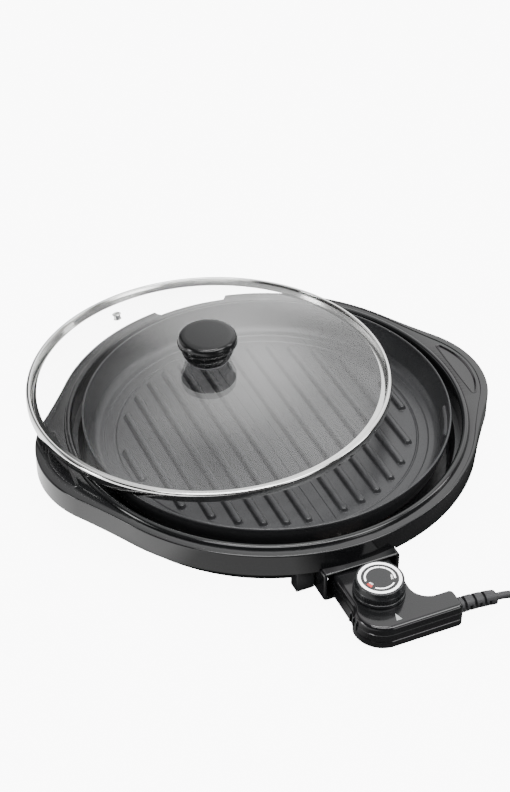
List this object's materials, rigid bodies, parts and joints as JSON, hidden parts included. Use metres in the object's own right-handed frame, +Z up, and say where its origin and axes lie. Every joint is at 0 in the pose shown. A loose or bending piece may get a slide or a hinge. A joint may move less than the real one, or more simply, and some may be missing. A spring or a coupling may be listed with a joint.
{
  "type": "electric griddle",
  "caption": "Round electric griddle with a ridged non-stick pan, lobed handles, a domed glass lid resting off-centre and a plug-in thermostat control on a lead.",
  "frame": {"origin": "middle of the griddle's footprint with its lid and control, leads left out, on the surface that it stands on", "axes": "+Z up, X through the two handles, -Y towards the plug-in control"},
  "size_m": [0.4986, 0.531, 0.1212],
  "materials": {
    "housing_plastic": "gloss black heat-resistant moulding",
    "base_plastic": "fine-textured black moulding",
    "pan_coating": "satin dark grey non-stick coating on aluminium",
    "lid_glass": "tempered, lightly grey",
    "rim_steel": "polished stainless strip",
    "knob_plastic": "gloss black",
    "seal_silicone": "grey silicone",
    "plated_steel": "zinc-plated sheet and screws",
    "element_sheath": "heat-darkened sheath",
    "contact_brass": "plain brass",
    "contact_steel": "nickel-plated",
    "phenolic": "dark brown phenolic",
    "foot_rubber": "soft black",
    "lead_rubber": "black, slightly satin",
    "dial_plastic": "dark grey printed plate"
  },
  "bodies": {
    "base": {"housing_shell": "housing_plastic", "socket_shroud": "housing_plastic", "base_tub": "base_plastic", "grill_pan": "pan_coating", "foot_1": "foot_rubber", "foot_2": "foot_rubber", "foot_3": "foot_rubber", "foot_4": "foot_rubber", "pan_post_1": "phenolic", "pan_post_2": "phenolic", "pan_post_3": "phenolic", "pan_post_4": "phenolic", "terminal_block": "phenolic", "pan_bolt_1": "plated_steel", "pan_bolt_2": "plated_steel", "pan_bolt_3": "plated_steel", "pan_bolt_4": "plated_steel", "housing_screw_1": "plated_steel", "housing_screw_2": "plated_steel", "housing_screw_3": "plated_steel", "housing_screw_4": "plated_steel", "heat_reflector": "plated_steel", "element_clip_1": "plated_steel", "element_clip_2": "plated_steel", "element_clip_3": "plated_steel", "heating_element": "element_sheath", "terminal_pin_l": "contact_steel", "terminal_pin_r": "contact_steel", "probe_guide": "contact_steel"},
    "lid": {"lid_glass": "lid_glass", "lid_rim": "rim_steel", "lid_vent": "rim_steel", "lid_washer": "rim_steel", "lid_bolt": "rim_steel", "lid_seal": "seal_silicone", "lid_knob": "knob_plastic"},
    "control": {"control_upper_shell": "housing_plastic", "control_lower_shell": "housing_plastic", "contact_carrier": "phenolic", "contact_sleeve_l": "contact_brass", "contact_sleeve_r": "contact_brass", "bimetal_strip": "contact_brass", "probe_rod": "contact_steel", "thermostat_frame": "plated_steel", "control_screw_1": "plated_steel", "control_screw_2": "plated_steel", "control_screw_3": "plated_steel", "control_screw_4": "plated_steel", "strain_relief": "lead_rubber", "cord": "lead_rubber", "cord_tail": "lead_rubber", "cord_coil": "lead_rubber", "cord_tie": "lead_rubber", "plug_body": "lead_rubber", "plug_pin_l": "contact_steel", "plug_pin_r": "contact_steel"},
    "knob": {"control_knob": "knob_plastic", "dial_plate": "dial_plastic", "knob_spindle": "contact_steel"}
  },
  "joints": [
    {"name": "lid_lift", "type": "slide", "parent": "base", "child": "lid", "axis": [0, 0, 1], "range_m": [0, 0.15]},
    {"name": "control_unplug", "type": "slide", "parent": "base", "child": "control", "axis": [0, -1, 0], "range_m": [0, 0.09]},
    {"name": "knob_turn", "type": "hinge", "parent": "control", "child": "knob", "pos_m": [0, -0.21624, 0.032], "axis": [0, 0, 1], "range_deg": [-270, 0]}
  ]
}
